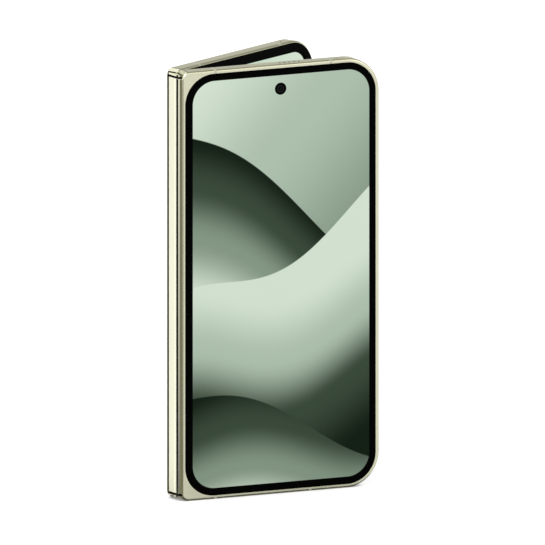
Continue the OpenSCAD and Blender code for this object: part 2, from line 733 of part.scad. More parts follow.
module camera_plate() color("#c9cbb6") rear_half() difference() {
    slab(island_x0, island_x1, island_z0, island_z1, island_y, island_top, island_r, island_r, island_edge);
    for (p = lens_spots) {
        rod_y(p[0], p[1], p[2] - 2 * ring_w + 2 * lens_bore, island_y - over, island_top + over);
        rod_y(p[0], p[1], p[2] + 2 * seat_clear, island_top - lens_sink, island_top + over);
    }
    rod_y(lamp_x, lens_z, lamp_d + 2 * seat_clear, island_y - over, island_top + over);
}

module lens_rings() color("#b9bba6") rear_half() for (p = lens_spots) difference() {
    rod_y(p[0], p[1], p[2], island_top - lens_sink, island_top + lens_rise);
    rod_y(p[0], p[1], p[2] - 2 * ring_w, island_top - lens_sink - over, island_top + lens_rise + over);
}

module lens_covers() color("#101418") rear_half() for (p = lens_spots)
    rod_y(p[0], p[1], p[2] - 2 * ring_w - 2 * seat_clear, island_top - lens_drop,
          island_top + lens_rise - lens_drop);

module lamp_window() color("#f2efe0") rear_half()
    rod_y(lamp_x, lens_z, lamp_d, island_y, island_top + lamp_proud);

module camera_modules() color("#202326") rear_half() for (p = lens_spots) {
    block(p[0] - p[2] / 2 + module_in, p[0] + p[2] / 2 - module_in, bay_y, glass_y - seat_clear,
          p[1] - p[2] / 2 + module_in, p[1] + p[2] / 2 - module_in);
    rod_y(p[0], p[1], p[2] - 2 * ring_w - module_in, glass_y - seat_clear, island_top - lens_drop);
}

module main_board() color("#1f5a3c") rear_half() difference() {
    plate(board_x0, board_x1, board_z, board_z + board_h, bay_y, bay_y + board_t, over, bay_r);
    for (p = lens_spots) block(p[0] - p[2] / 2, p[0] + p[2] / 2, bay_y - over, bay_y + board_t + over,
        p[1] - p[2] / 2, p[1] + p[2] / 2);
    board_hole();
}

module main_board_cans() color("#a9aba6") rear_half() for (i = [0:1])
    block(can_x + i * can_pitch, can_x + i * can_pitch + can_l, bay_y + board_t,
          bay_y + board_t + can_t, board_z + part_gap, island_z0 - part_gap);

module rear_battery() color("#2f3336") rear_half()
    block(cell_x, cell_x + cell_w, bay_y, bay_y + rear_cell_t - coil_t, cell_z,
          cell_z + cell_h);

module charging_coil() color("#8a5a35") rear_half() difference() {
    rod_y(cell_x + cell_w / 2, cell_z + cell_h / 2, coil_d, bay_y + rear_cell_t - coil_t,
          bay_y + rear_cell_t);
    rod_y(cell_x + cell_w / 2, cell_z + cell_h / 2, coil_d / 2,
          bay_y + rear_cell_t - coil_t - over, bay_y + rear_cell_t + over);
}

module usb_port() color("#9b9d9a") rear_half() difference() {
    pill_z(port_x, port_y, port_sink, port_depth, port_w, port_h);
    pill_z(port_x, port_y, -over, port_depth - port_back, port_w - 2 * port_wall, port_h - 2 * port_wall);
}

module usb_tongue() color("#1b1c1d") rear_half()
    block(port_x - contact_w / 2, port_x + contact_w / 2, port_y - contact_t / 2, port_y + contact_t / 2,
          tongue_in, port_depth - port_back);

module sub_board() color("#1f5a3c") rear_half() difference() {
    block(board_x0, speaker_x - speaker_side - part_gap, bay_y, bay_y + board_t, sub_z0, sub_z0 + sub_h);
    block(port_x - port_w / 2 - port_wall, port_x + port_w / 2 + port_wall, bay_y - over,
          bay_y + board_t + over, sub_z0 - over, port_depth + port_wall);
}

module loudspeaker() color("#26282a") rear_half()
    block(speaker_x - speaker_side, speaker_x - speaker_side + speaker_l, bay_y, bay_y + bay_h - speaker_gap,
          rail_w + speaker_foot, rail_w + speaker_foot + speaker_h);

module vibration_motor() color("#86888a") rear_half()
    rod_y(motor_x, sub_z0 + sub_h + part_gap + motor_d / 2, motor_d, bay_y, bay_y + motor_t);

module key_switches() color("#3b3d3f") rear_half() for (z = key_spots)
    block(x_free - rail_w - key_root - key_travel - key_clear - switch_t,
          x_free - rail_w - key_root - key_travel - key_clear, key_y - switch_t / 2, key_y + switch_t,
          z - switch_l / 2, z + switch_l / 2);

module card_reader() color("#9b9d9a") rear_half() difference() {
    block(x_free - rail_w - tray_depth - reader_gap - reader_wall, x_free - rail_w - reader_gap, bay_y,
          key_y + key_w / 2, tray_z - tray_l / 2 - reader_wall, tray_z + tray_l / 2 + reader_wall);
    block(x_free - rail_w - tray_depth - reader_gap, x_free, key_y - tray_t / 2 - key_clear,
          key_y + tray_t / 2 + key_clear, tray_z - tray_in / 2 - key_clear, tray_z + tray_in / 2 + key_clear);
}

module rear_sync_gears() color("#9a9b93") rear_half() sync_gears(0.5);

module rear_hinge_rails() color("#a6a79f") rear_half() hinge_rails(1);

module rear_rail_screws() color("#77797a") rear_half() rail_screws(1);

module inner_display_rear() color("#6f8f7d") rear_half() flat_screen();

module rear_bezel() color("#17191a") rear_half() bezel();

module rear_wing_plate() color("#3a3b3c") rear_half() wing_plate();

module inner_display_wing_rear() color("#1d211f") rear_half() wing_screen();

// ---------- keys and card tray ----------

module key(z, l) {
    pill_x(x_free - rail_w, x_free + key_proud, key_y, z, l, key_w);
    pill_x(x_free - rail_w - key_root, x_free - rail_w - key_clear, key_y, z,
           l + 2 * key_lap, key_w + 2 * key_lap);
    pill_x(x_free - rail_w - key_root, x_free - rail_w + over, key_y, z,
           l - 2 * key_lap, key_w - 2 * key_lap);
}

module power_key() color("#cfd0bb") rear_half() key(power_z, power_l);

module volume_key() color("#cfd0bb") rear_half() key(volume_z, volume_l);

module card_tray() color("#cfd0bb") rear_half() {
    pill_x(x_free - rail_w + tray_lip, x_free, key_y, tray_z, tray_l, key_w);
    difference() {
        block(x_free - rail_w - tray_depth, x_free - rail_w + tray_lip, key_y - tray_t / 2, key_y + tray_t / 2,
              tray_z - tray_in / 2, tray_z + tray_in / 2);
        block(x_free - rail_w - tray_depth + tray_rim, x_free - rail_w - 2 * tray_rim, key_y - tray_t / 4,
              key_y + over, tray_z - tray_in / 2 + tray_rim, tray_z + tray_in / 2 - tray_rim);
    }
}

// ---------- what is drawn ----------

hinge_cover();
hinge_collars();
hinge_pins();
guide_blocks();
fold_flex_cable();
centre_plate();
inner_display_fold();
front_frame();
front_antenna_seams();
cover_glass();
cover_panel();
cover_camera();
earpiece();
front_battery();
front_board();
front_board_cans();
front_sync_gears();
front_hinge_rails();
front_rail_screws();
inner_display_front();
front_bezel();
front_wing_plate();
inner_display_wing_front();
rear_frame();
rear_antenna_seams();
rear_glass();
camera_plate();
lens_rings();
lens_covers();
lamp_window();
camera_modules();
main_board();
main_board_cans();
rear_battery();
charging_coil();
usb_port();
usb_tongue();
sub_board();
loudspeaker();
vibration_motor();
key_switches();
card_reader();
rear_sync_gears();
rear_hinge_rails();
rear_rail_screws();
inner_display_rear();
rear_bezel();
rear_wing_plate();
inner_display_wing_rear();
power_key();
volume_key();
card_tray();
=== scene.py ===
import json
import math
import bmesh
import bpy
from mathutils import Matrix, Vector


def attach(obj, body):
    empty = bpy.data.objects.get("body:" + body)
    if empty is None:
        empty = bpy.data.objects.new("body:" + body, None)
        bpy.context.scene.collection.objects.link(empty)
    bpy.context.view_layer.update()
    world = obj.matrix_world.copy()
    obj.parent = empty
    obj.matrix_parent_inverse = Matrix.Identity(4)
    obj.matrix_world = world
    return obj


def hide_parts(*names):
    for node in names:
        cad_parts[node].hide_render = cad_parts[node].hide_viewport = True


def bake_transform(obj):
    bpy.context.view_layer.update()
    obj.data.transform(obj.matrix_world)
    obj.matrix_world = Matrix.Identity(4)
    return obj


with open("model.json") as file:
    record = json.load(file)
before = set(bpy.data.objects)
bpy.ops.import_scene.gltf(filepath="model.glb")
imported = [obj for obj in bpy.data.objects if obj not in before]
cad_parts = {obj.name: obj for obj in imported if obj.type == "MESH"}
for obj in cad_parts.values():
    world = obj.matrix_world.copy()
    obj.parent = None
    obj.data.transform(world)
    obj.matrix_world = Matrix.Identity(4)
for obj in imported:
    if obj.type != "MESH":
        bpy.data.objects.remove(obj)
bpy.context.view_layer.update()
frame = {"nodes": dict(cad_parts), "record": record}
nodes = frame["nodes"]

# ---------- sizes, in metres, as in the CAD ----------
# a half's own frame has x from its fold axis to its free edge, y outwards from the fold plane, and z up
MM = 0.001
HALF_W, HALF_T, HEIGHT = 75.2 * MM, 5.2 * MM, 155.2 * MM
AXIS_GAP = 3.7 * MM
AXIS = AXIS_GAP / 2              # each fold axis from the middle of the spine
FOLD_GAP = 0.4 * MM              # between the inner faces, when shut
SEAM_GAP = 0.1 * MM              # between the end faces, when open
HALF_OPEN = 14.0                 # degrees of each half from the bisector
COS, SIN = math.cos(math.radians(HALF_OPEN)), math.sin(math.radians(HALF_OPEN))
CLEAR = 0.05 * MM                # round what is seated or swings
SET_IN = 0.05 * MM               # how far some visual pieces lie inside the solid they stand for

# metal frame of a half
X_END, X_FREE = -(AXIS_GAP - SEAM_GAP) / 2, HALF_W - AXIS
Y_IN = -(AXIS_GAP - FOLD_GAP) / 2
Y_OUT = Y_IN + HALF_T

# cover glass, the lit part of its screen, and the camera's round window
RIM_HINGE, RIM_FREE, RIM_END = 1.15 * MM, 1.45 * MM, 1.33 * MM
GLASS_T, GLASS_PROUD = 0.45 * MM, 0.15 * MM
GLASS_R, GLASS_EDGE = 10.9 * MM, 0.3 * MM
BORDER_HINGE, BORDER_FREE, BORDER_TOP, BORDER_FOOT = 2.8 * MM, 2.5 * MM, 2.55 * MM, 2.75 * MM
LIT_R = 8.35 * MM
PUNCH_DROP, PUNCH_R = 7.4 * MM, 2.2 * MM
CAMERA_R, CAMERA_FADE = 2.0 * MM, 2.4 * MM       # end of the camera's rings, and of their ramp
COVER_GLOW = 0.45
GLASS_X0, GLASS_X1 = X_END + RIM_HINGE, X_FREE - RIM_FREE
GLASS_Z0, GLASS_Z1 = RIM_END, HEIGHT - RIM_END
GLASS_TOP = Y_OUT + GLASS_PROUD
COVER_LIT = (GLASS_X0 + BORDER_HINGE, GLASS_X1 - BORDER_FREE, GLASS_Z0 + BORDER_FOOT, GLASS_Z1 - BORDER_TOP)
PUNCH_X, PUNCH_Z = (GLASS_X0 + GLASS_X1) / 2, GLASS_Z1 - PUNCH_DROP

# spine: cover strip, and the black pieces between its ends and the collars, painted shade of those grooves
EAR_T, EAR_GAP, COLLAR_T, GEAR_BAY = 1 * MM, 0.25 * MM, 0.5 * MM, 0.85 * MM
COLLAR_END = EAR_T + EAR_GAP + COLLAR_T          # above the foot, and the same below the top
COVER_END = COLLAR_END + GEAR_BAY
LIP_T, SPINE_CLEAR, SPINE_WALL = 0.45 * MM, 0.1 * MM, 0.3 * MM
SPINE_R = Y_OUT - LIP_T - SPINE_CLEAR
# radii of the black pieces that paint the shade in the spine's end grooves
SHADE_PIECE_R, SHADE_PIECE_INNER_R = 2.66 * MM, 2.4 * MM
CROWN, FLAT_CROWN = 3.0, 0.4                     # degrees where a flank passes into the crown
STRIP_REACH, WALL_REACH, SHADE_PIECE_REACH = 68.1, 65.9, 48.0
CHAMFER, SHADE_PIECE_PLAY = 0.08 * MM, 0.02 * MM

# folding screen: the laminate thickens from FLEX_T to FLAT_T past THICKEN_X, and tilts about the wing's pivot
FOLD_RECESS, FLEX_T, FLAT_T = 0.15 * MM, 0.4 * MM, 0.7 * MM
THICKEN_X, THICKEN = 4.4 * MM, 0.6
WING_W, PIVOT_R, WING_TILT = 4.1 * MM, 0.25 * MM, 14.0
FOLD_FLAT = 0.95 * MM                            # half width of the fold's flat middle
SCREEN_Y = Y_IN + FOLD_RECESS                    # lit face
WING_X, WING_Y = WING_W - PIVOT_R, SCREEN_Y + FLEX_T + PIVOT_R
WING_REST = math.radians(WING_TILT * (90 - HALF_OPEN) / 90)
INNER_RIM, SCREEN_SIDE = 0.6 * MM, 1.6 * MM      # frame's rim, and the screen's free side under its bezel
FILM_X0, FILM_X1 = FOLD_FLAT - AXIS + 0.01 * MM, X_FREE - INNER_RIM - SCREEN_SIDE - SET_IN
FILM_Z0, FILM_Z1 = COVER_END + CLEAR + SET_IN, HEIGHT - COVER_END - CLEAR - SET_IN
FILM_R = 8.8 * MM
PICTURE_W = 144 * MM                             # over both halves, from their middle
PICTURE_X0, PICTURE_X1 = -PICTURE_W / 2 - AXIS, PICTURE_W / 2 - AXIS
INNER_BORDER = 4.25 * MM
INNER_LIT = (-60 * MM, 68.5 * MM, INNER_BORDER, HEIGHT - INNER_BORDER)
INNER_LIT_R, INNER_GLOW = 6.5 * MM, 0.55

# lenses as (x, z, radius), and what is turned for them as (share of the radius, y in mm)
LENS_D, SMALL_LENS_D, LENS_GAP = 12 * MM, 7.5 * MM, 2.4 * MM
PLATE_INSET, RING_WALL = 8 * MM, 0.9 * MM
WIDE_X = X_FREE - PLATE_INSET - LENS_GAP - LENS_D / 2
MAIN_X = WIDE_X - LENS_D - LENS_GAP
SMALL_X = MAIN_X - LENS_GAP - (LENS_D + SMALL_LENS_D) / 2
LENS_Z = HEIGHT - PLATE_INSET - LENS_GAP - LENS_D / 2
LENSES = {
    "wide": (WIDE_X, LENS_Z, LENS_D / 2 - RING_WALL - CLEAR),
    "main": (MAIN_X, LENS_Z, LENS_D / 2 - RING_WALL - CLEAR),
    "small": (SMALL_X, LENS_Z, SMALL_LENS_D / 2 - RING_WALL - CLEAR),
}
BARREL = [(0.0, 5.7), (1.0, 5.7), (1.0, 6.44), (0.985, 6.46), (0.90, 6.46), (0.88, 6.42), (0.87, 6.30),
          (0.76, 6.26), (0.75, 6.14), (0.64, 6.10), (0.63, 5.98), (0.50, 5.94), (0.0, 5.94)]
ELEMENT = [(0.0, 5.96), (0.49, 5.96), (0.485, 6.02), (0.44, 6.07), (0.36, 6.115), (0.26, 6.15), (0.14, 6.17),
           (0.0, 6.175)]

# sound holes in the rails, and the mesh in them
EARPIECE_X, SPEAKER_X = 40 * MM, 52 * MM         # middle of the one row, start of the other
MIC_X, PORT_MIC_X = 58 * MM, 27 * MM
HOLE_Y, HOLE_PITCH, HOLE_D = (Y_IN + Y_OUT) / 2, 1.83 * MM, 0.9 * MM
MESH_R, SMALL_MESH_R = HOLE_D / 2 - 0.01 * MM, 0.8 * HOLE_D / 2 - 0.01 * MM
MESH_DEPTH, MESH_HALF_T = 0.15 * MM, 0.1 * MM


def to_frame(x, y, z, side):
    """A point of a half's own frame in the shared frame; side is 1 for the rear half, -1 for the front."""
    return Vector((x * COS - y * SIN, side * (x * SIN + y * COS + AXIS), z))


def srgb(r, g, b):
    """A linear colour from 0..255 display values."""
    return tuple((c / 255 / 12.92) if c / 255 <= 0.04045 else ((c / 255 + 0.055) / 1.055) ** 2.4
                 for c in (r, g, b)) + (1.0,)


def shade(colour, share):
    """A colour darkened to a share of itself."""
    return tuple(c * share for c in colour[:3]) + (1.0,)


BLACK = (0.0, 0.0, 0.0, 1.0)
JADE = srgb(243, 242, 214)
DEEP, DARK, MID = srgb(20, 33, 21), srgb(60, 76, 60), srgb(136, 155, 136)
SOFT, PALE = srgb(178, 197, 178), srgb(217, 232, 214)


# ---------- node helpers ----------
class Tree:
    """A material with short calls for its nodes; most of them return the new node's output socket."""

    def __init__(self, name):
        self.mat = bpy.data.materials.new(name)
        self.mat.use_nodes = True
        self.nt = self.mat.node_tree
        self.nt.nodes.clear()
        self.out = self.nt.nodes.new("ShaderNodeOutputMaterial")
        self._place = None

    def node(self, kind, **props):
        n = self.nt.nodes.new(kind)
        for k, v in props.items():
            setattr(n, k, v)
        return n

    def put(self, socket, value):
        if isinstance(value, bpy.types.NodeSocket):
            self.nt.links.new(value, socket)
        else:
            socket.default_value = value

    def math(self, op, *args):
        n = self.node("ShaderNodeMath", operation=op)
        for i, a in enumerate(args):
            self.put(n.inputs[i], a)
        return n.outputs[0]

    def place(self):
        """The place of the point being shaded, in the object's coordinates if nothing else is followed."""
        if self._place is None:
            self._place = self.node("ShaderNodeTexCoord").outputs["Object"]
        return self._place

    def follow(self, attribute):
        """Place this material's patterns by a stored attribute instead of the object's coordinates."""
        self._place = self.node("ShaderNodeAttribute", attribute_name=attribute).outputs["Vector"]

    def dot(self, vector, direction):
        n = self.node("ShaderNodeVectorMath", operation="DOT_PRODUCT")
        self.put(n.inputs[0], vector)
        n.inputs[1].default_value = direction
        return n.outputs["Value"]

    def length(self):
        """Distance of the point being shaded from the origin, in metres."""
        n = self.node("ShaderNodeVectorMath", operation="LENGTH")
        self.put(n.inputs[0], self.place())
        return n.outputs["Value"]

    def hypot(self, a, b):
        return self.math("SQRT", self.math("ADD", self.math("MULTIPLY", a, a), self.math("MULTIPLY", b, b)))

    def scaled(self, factors):
        n = self.node("ShaderNodeVectorMath", operation="MULTIPLY")
        self.put(n.inputs[0], self.place())
        n.inputs[1].default_value = factors
        return n.outputs["Vector"]

    def noise(self, scale, detail=3.0, rough=0.55, vector=None):
        n = self.node("ShaderNodeTexNoise")
        self.put(n.inputs["Vector"], vector if vector is not None else self.place())
        n.inputs["Scale"].default_value = scale
        n.inputs["Detail"].default_value = detail
        n.inputs["Roughness"].default_value = rough
        return n.outputs["Fac"]

    def span(self, value, a, b, lo=0.0, hi=1.0):
        """value from a to b taken to lo..hi, and held there past both ends."""
        n = self.node("ShaderNodeMapRange", clamp=True)
        self.put(n.inputs[0], value)
        n.inputs[1].default_value, n.inputs[2].default_value = a, b
        n.inputs[3].default_value, n.inputs[4].default_value = lo, hi
        return n.outputs[0]

    def mix(self, fac, a, b):
        n = self.node("ShaderNodeMix", data_type="RGBA")
        self.put(n.inputs[0], fac)
        self.put(n.inputs[6], a)
        self.put(n.inputs[7], b)
        return n.outputs[2]

    def ramp(self, fac, stops):
        n = self.node("ShaderNodeValToRGB")
        self.put(n.inputs[0], fac)
        e = n.color_ramp.elements
        while len(e) < len(stops):
            e.new(0.5)
        for el, (p, c) in zip(e, stops):
            el.position, el.color = p, c
        n.color_ramp.interpolation = "EASE"
        return n.outputs[0]

    def bump(self, height, distance, strength):
        n = self.node("ShaderNodeBump")
        self.put(n.inputs["Height"], height)
        n.inputs["Distance"].default_value = distance
        n.inputs["Strength"].default_value = strength
        return n.outputs[0]

    def surface(self, **values):
        """Finish the material with a principled surface; a socket's name has _ for each space."""
        bsdf = self.node("ShaderNodeBsdfPrincipled")
        for name, value in values.items():
            self.put(bsdf.inputs[name.replace("_", " ")], value)
        self.put(self.out.inputs[0], bsdf.outputs[0])
        return self.mat


def local_xyz(t, side):
    """The half's own x, y and z of the point being shaded."""
    x = t.math("SUBTRACT", t.dot(t.place(), (COS, side * SIN, 0)), AXIS * SIN)
    y = t.math("SUBTRACT", t.dot(t.place(), (-SIN, side * COS, 0)), AXIS * COS)
    z = t.dot(t.place(), (0, 0, 1))
    return x, y, z


def round_box(t, x, z, x0, x1, z0, z1, r):
    """Signed distance to a rounded rectangle in the plane of x and z."""
    qx = t.math("SUBTRACT", t.math("ABSOLUTE", t.math("SUBTRACT", x, (x0 + x1) / 2)), (x1 - x0) / 2 - r)
    qz = t.math("SUBTRACT", t.math("ABSOLUTE", t.math("SUBTRACT", z, (z0 + z1) / 2)), (z1 - z0) / 2 - r)
    far = t.hypot(t.math("MAXIMUM", qx, 0.0), t.math("MAXIMUM", qz, 0.0))
    near = t.math("MINIMUM", t.math("MAXIMUM", qx, qz), 0.0)
    return t.math("SUBTRACT", t.math("ADD", far, near), r)


# ---------- materials ----------
def metal(name, colour, rough, grain=0.004, stretch=(1.0, 1.0, 1.0), scale=900.0):
    """Bare metal: a broad change of tint, a roughness that wanders, and a fine grain in mm, if any."""
    t = Tree(name)
    fine = t.noise(scale, 4.0, 0.6, t.scaled(stretch))
    broad = t.noise(60.0, 2.0)
    tone = t.mix(t.span(broad, 0.3, 0.7), colour, shade(colour, 0.965))
    roughness = t.math("ADD", t.span(fine, 0.25, 0.75, rough * 0.85, rough * 1.15),
                       t.span(broad, 0.35, 0.65, -rough * 0.08, rough * 0.08))
    values = {"Base_Color": tone, "Metallic": 1.0, "Roughness": roughness}
    if grain:
        values["Normal"] = t.bump(fine, grain * MM, 0.35)
    return t.surface(**values)


def frame_finish(name, side, satin):
    """The halves' frame: a satin outer face and polished rails."""
    t = Tree(name)
    y = local_xyz(t, side)[1]
    fine = t.noise(3000.0, 3.0, 0.6)
    broad = t.noise(60.0, 2.0)
    face = t.span(y, Y_OUT - 0.12 * MM, Y_OUT - 0.02 * MM)
    roughness = t.math("ADD", t.span(face, 0.0, 1.0, 0.12, satin), t.span(fine, 0.25, 0.75, -0.01, 0.01))
    tone = t.mix(t.span(broad, 0.3, 0.7), JADE, shade(JADE, 0.965))
    return t.surface(Base_Color=tone, Metallic=1.0, Roughness=roughness)


def plastic(name, colour, rough, grain=0.01, scale=2500.0, spec=0.5):
    """Plastic, rubber or lacquer: a mottled tint and a fine grain in mm."""
    t = Tree(name)
    fine = t.noise(scale, 4.0, 0.6)
    broad = t.noise(90.0, 2.0)
    tone = t.mix(t.span(broad, 0.3, 0.7), colour, shade(colour, 0.88))
    roughness = t.span(fine, 0.25, 0.75, rough * 0.85, min(1.0, rough * 1.15))
    return t.surface(Base_Color=tone, Roughness=roughness, Specular_IOR_Level=spec,
                     Normal=t.bump(fine, grain * MM, 0.5))


def satin_glass(name, colour):
    """Etched glass: an even tint with the finest sparkle and a soft sheen."""
    t = Tree(name)
    fine = t.noise(9000.0, 3.0, 0.6)
    broad = t.noise(16.0, 1.0)
    tone = t.mix(t.span(broad, 0.35, 0.65), colour, shade(colour, 0.985))
    tone = t.mix(t.span(fine, 0.35, 0.65, 0.0, 0.05), tone, (0.95, 0.97, 0.88, 1.0))
    return t.surface(Base_Color=tone, Roughness=t.span(fine, 0.3, 0.7, 0.24, 0.30), Specular_IOR_Level=0.5,
                     Coat_Weight=0.25, Coat_Roughness=0.2, Normal=t.bump(fine, 0.0012 * MM, 0.4))


def element_glass(cx, cz, r):
    """The front element of a lens: dark, with coloured rings round its middle that are painted reflections of
    its coating.
    """
    t = Tree("element_glass_%d" % round(cx / MM))
    x, _, z = local_xyz(t, 1)
    d = t.math("DIVIDE", t.hypot(t.math("SUBTRACT", x, cx), t.math("SUBTRACT", z, cz)), 0.5 * r)
    # the coloured and grey rings are painted reflections
    tone = t.ramp(d, [(0.0, srgb(3, 4, 8)), (0.30, srgb(8, 12, 26)), (0.46, srgb(30, 26, 58)),
                      (0.58, srgb(18, 44, 58)), (0.74, srgb(10, 14, 22)), (0.88, srgb(34, 40, 40)),
                      (1.0, srgb(6, 6, 7))])
    return t.surface(Base_Color=tone, Roughness=t.span(t.noise(400.0), 0.3, 0.7, 0.03, 0.05),
                     Specular_IOR_Level=0.6, Coat_Weight=0.6, Coat_Roughness=0.02)


def wallpaper(t, u, v):
    """Layered sweeping bands, each fading from deep green to mint. u and v run 0..1 over the picture."""
    def wave(a, b, c, d, e):
        return t.math("ADD", t.math("ADD", t.math("MULTIPLY", u, b), a),
                      t.math("MULTIPLY", t.math("SINE", t.math("ADD", t.math("MULTIPLY", u, d), e)), c))
    sky = t.math("ADD", t.math("MULTIPLY", u, 0.55), t.math("MULTIPLY", t.math("SUBTRACT", 1.0, v), 1.1))
    colour = t.ramp(sky, [(0.0, PALE), (0.45, SOFT), (1.0, MID)])
    # each band's edge, its depth, how much its tone shifts to the right, and its stops
    bands = [
        ((0.845, -0.30, 0.045, 4.2, 0.4), 0.40, 0.05, [(0.0, DEEP), (0.30, DARK), (0.62, MID), (1.0, PALE)]),
        ((0.455, 0.23, 0.05, 4.6, 2.2), 0.46, -0.30, [(0.0, PALE), (0.32, SOFT), (0.62, DARK), (1.0, DEEP)]),
        ((0.215, -0.13, 0.04, 4.4, 0.2), 0.30, 0.45, [(0.0, DEEP), (0.35, DARK), (0.7, MID), (1.0, PALE)]),
    ]
    for edge, deep, lean, stops in bands:
        depth = t.math("SUBTRACT", wave(*edge), v)
        tone = t.math("ADD", t.math("DIVIDE", depth, deep), t.math("MULTIPLY", u, lean))
        colour = t.mix(t.span(depth, -0.0012, 0.0012), colour, t.ramp(tone, stops))
    return colour


def lit_glass(name, side, box, r, u0, u1, power, bends):
    """Glass over a lit screen: the picture inside a rounded rectangle, a black border round it.
    u0 and u1 are the picture's two ends along x. A sheet that bends carries its flat place in
    flat_place, so that the picture bends with it. One that doesn't has the camera's round window."""
    t = Tree(name)
    if bends:
        t.follow("flat_place")
    soft = 0.04 * MM
    x, _, z = local_xyz(t, side)
    inside = t.span(round_box(t, x, z, *box, r), -soft, soft, 1.0, 0.0)
    u = t.math("DIVIDE", t.math("SUBTRACT", x, u0), u1 - u0)
    v = t.math("DIVIDE", t.math("SUBTRACT", z, box[2]), box[3] - box[2])
    picture = wallpaper(t, u, v)
    black = t.mix(t.span(t.noise(300.0), 0.3, 0.7), srgb(1, 2, 1), srgb(3, 4, 3))
    if not bends:
        d = t.hypot(t.math("SUBTRACT", x, PUNCH_X), t.math("SUBTRACT", z, PUNCH_Z))
        inside = t.math("MULTIPLY", inside, t.span(d, PUNCH_R - soft, PUNCH_R + soft))
        # the camera's dark rings, with a painted highlight in their very middle
        lens_rings_and_highlight = t.ramp(t.math("DIVIDE", d, CAMERA_FADE), [
            (0.0, srgb(62, 64, 60)), (0.09, srgb(20, 21, 21)), (0.20, srgb(6, 7, 7)), (0.36, srgb(8, 9, 9)),
            (0.46, srgb(38, 40, 38)), (0.54, srgb(12, 12, 12)), (0.64, srgb(3, 3, 3)), (1.0, srgb(2, 2, 2))])
        black = t.mix(t.span(d, CAMERA_R, CAMERA_R + 0.1 * MM, 1.0, 0.0), black, lens_rings_and_highlight)
    base = t.mix(inside, black, t.mix(0.45, picture, BLACK))
    glow = t.mix(inside, BLACK, picture)
    smear = t.noise(140.0, 3.0)
    return t.surface(Base_Color=base, Emission_Color=glow, Emission_Strength=power,
                     Roughness=t.span(smear, 0.3, 0.7, 0.03, 0.06), Specular_IOR_Level=0.02)


def middle_glass():
    """The middle of the folding screen, which carries on the picture between the two strips."""
    t = Tree("inner_lit_middle")
    z0, z1 = INNER_LIT[2:]
    v = t.math("DIVIDE", t.math("SUBTRACT", t.dot(t.place(), (0, 0, 1)), z0), z1 - z0)
    u = t.math("SUBTRACT", 0.5, t.math("DIVIDE", t.dot(t.place(), (0, 1, 0)), PICTURE_W))
    picture = wallpaper(t, u, v)
    inside = t.math("LESS_THAN", t.math("ABSOLUTE", t.math("SUBTRACT", v, 0.5)), 0.5)
    return t.surface(Base_Color=t.mix(inside, srgb(2, 2, 2), t.mix(0.45, picture, BLACK)),
                     Emission_Color=t.mix(inside, BLACK, picture), Emission_Strength=INNER_GLOW,
                     Roughness=0.05, Specular_IOR_Level=0.02)


frame_metal = metal("frame_metal", JADE, 0.12, grain=0.0)
spine_metal = metal("spine_metal", srgb(246, 245, 221), 0.045, grain=0.0, stretch=(1.0, 1.0, 0.05))
hinge_steel = metal("hinge_steel", (0.55, 0.55, 0.52, 1), 0.3)
screw_steel = metal("screw_steel", (0.36, 0.36, 0.37, 1), 0.35)
shield_steel = metal("shield_steel", (0.60, 0.61, 0.59, 1), 0.35)
camera_metal = metal("camera_metal", srgb(214, 218, 194), 0.34, grain=0.02, scale=5000.0)
support_plate = metal("support_plate", (0.22, 0.22, 0.22, 1), 0.4)
seam_plastic = plastic("seam_plastic", srgb(206, 206, 184), 0.25, grain=0.003)
rear_finish = satin_glass("rear_glass", srgb(226, 232, 208))
black_rubber = plastic("bezel_black", srgb(3, 3, 3), 0.4, spec=0.02)
# near black for the pieces in the spine's end grooves: painted shade
painted_groove_shade = plastic("painted_groove_shade", srgb(6, 6, 5), 0.6, spec=0.02)
lens_barrel = plastic("lens_barrel", srgb(10, 11, 12), 0.3, grain=0.004, scale=4000.0, spec=0.35)
mesh_cloth = plastic("mesh_cloth", srgb(14, 14, 13), 0.7, grain=0.02, scale=9000.0, spec=0.1)
module_black = plastic("module_black", srgb(22, 23, 25), 0.5)
battery_wrap = plastic("battery_wrap", srgb(40, 42, 44), 0.45)
board_green = plastic("board_green", srgb(28, 92, 60), 0.4)
lamp_glass = plastic("lamp_glass", srgb(246, 240, 214), 0.12, grain=0.02, scale=1500.0)
lens_glass = plastic("lens_glass", srgb(8, 10, 14), 0.05, grain=0.0, spec=0.6)
coil_copper = metal("coil_copper", srgb(200, 138, 90), 0.35)
flex_cable = plastic("flex_cable", srgb(176, 132, 56), 0.4)

SLOTS = {
    "frame_metal": frame_metal, "spine_metal": spine_metal, "hinge_steel": hinge_steel,
    "screw_steel": screw_steel, "seam_plastic": seam_plastic, "rear_glass": rear_finish,
    "bezel_black": black_rubber, "support_plate": support_plate, "camera_metal": camera_metal,
    "lens_glass": lens_glass, "lamp_glass": lamp_glass, "module_black": module_black,
    "battery_wrap": battery_wrap, "board_green": board_green, "shield_steel": shield_steel,
    "coil_copper": coil_copper, "flex_cable": flex_cable, "display_panel": module_black,
    "cover_glass": module_black, "flex_display": module_black,
}
FRAMES = {"front_frame": frame_finish("frame_front", -1, 0.22),
          "rear_frame": frame_finish("frame_rear", 1, 0.42)}
for part in frame["record"]["subparts"]:
    node = nodes[part["node"]]
    node.data.materials.clear()
    node.data.materials.append(FRAMES.get(part["node"], SLOTS[part["material_slot"]]))


# ---------- mesh helpers ----------
def outline(x0, x1, z0, z1, r):
    """Points round a rounded rectangle, counter-clockwise seen with x right and z up."""
    steps = 24
    corners = ((x1 - r, z0 + r, -90), (x1 - r, z1 - r, 0), (x0 + r, z1 - r, 90), (x0 + r, z0 + r, 180))
    pts = []
    for cx, cz, a0 in corners:
        for i in range(steps + 1):
            a = math.radians(a0 + 90 * i / steps)
            pts.append((cx + r * math.cos(a), cz + r * math.sin(a)))
    return pts


